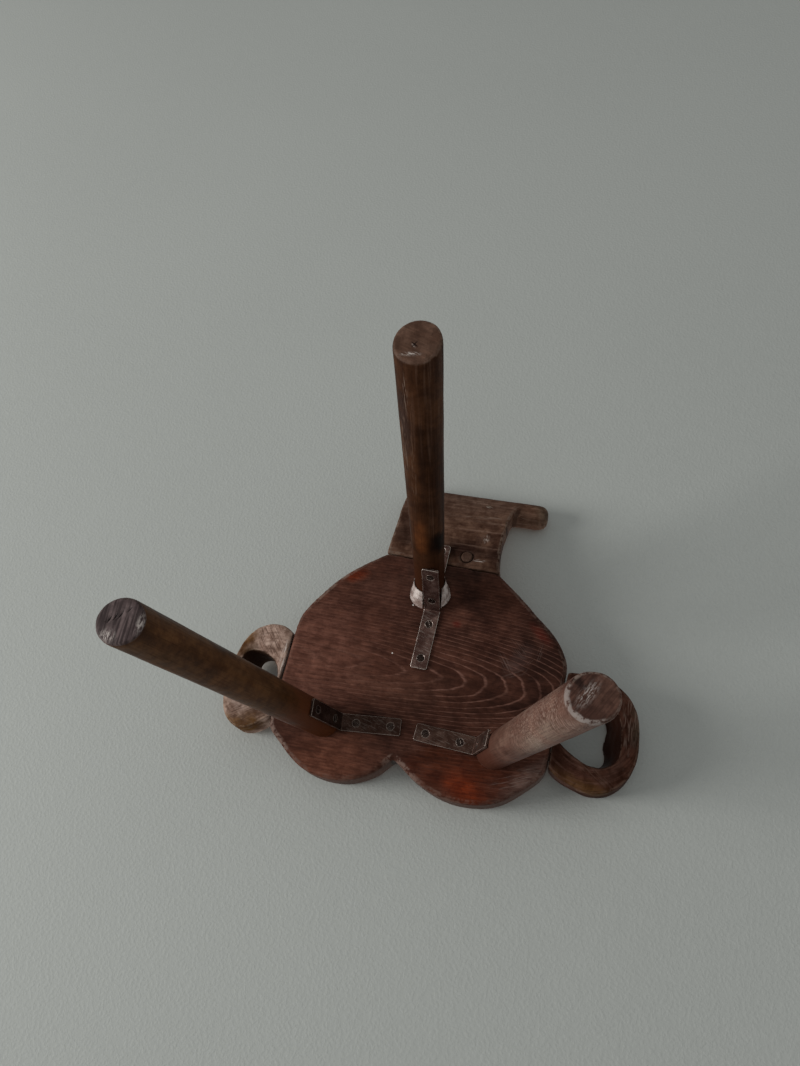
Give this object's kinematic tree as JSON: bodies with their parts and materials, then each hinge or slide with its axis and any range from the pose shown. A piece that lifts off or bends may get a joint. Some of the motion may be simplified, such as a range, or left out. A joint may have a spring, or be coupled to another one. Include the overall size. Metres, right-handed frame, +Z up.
{
  "type": "camel saddle stool",
  "caption": "Low carved wooden saddle stool: heart-shaped seat, curved back with a roll and knob, side hand loops, splayed round legs braced by steel corner brackets.",
  "frame": {"origin": "on the floor, under the middle of the whole stool's box; the feet stand at z = 0", "axes": "+Z up; +Y towards the curved back; +X towards the smaller hand loop, the sitter's side away from the knob; the lobes are at -Y"},
  "size_m": [0.5238, 0.436, 0.445],
  "materials": {
    "seat_wood": "dark stained, worn",
    "back_wood": "weathered grey-brown",
    "loop_wood": "rough sawn and worn",
    "leg_wood": "dark stained, scratched",
    "peg_wood": "plain hardwood pegs",
    "bracket_steel": "dull, bronzed",
    "screw_steel": "dull steel",
    "filler": "hard glossy filler"
  },
  "bodies": {
    "root": {"seat_board": "seat_wood", "curved_back": "back_wood", "back_pins": "peg_wood", "loop_left": "loop_wood", "loop_right": "loop_wood", "loop_dowels_left": "peg_wood", "loop_dowels_right": "peg_wood", "leg_left": "leg_wood", "leg_right": "leg_wood", "leg_back": "leg_wood", "leg_wedges": "peg_wood", "filler_collar": "filler", "bracket_left": "bracket_steel", "screws_left": "screw_steel", "bracket_right": "bracket_steel", "screws_right": "screw_steel", "bracket_back_inner": "bracket_steel", "screws_back_inner": "screw_steel", "bracket_back_outer": "bracket_steel", "screws_back_outer": "screw_steel"}
  },
  "joints": []
}
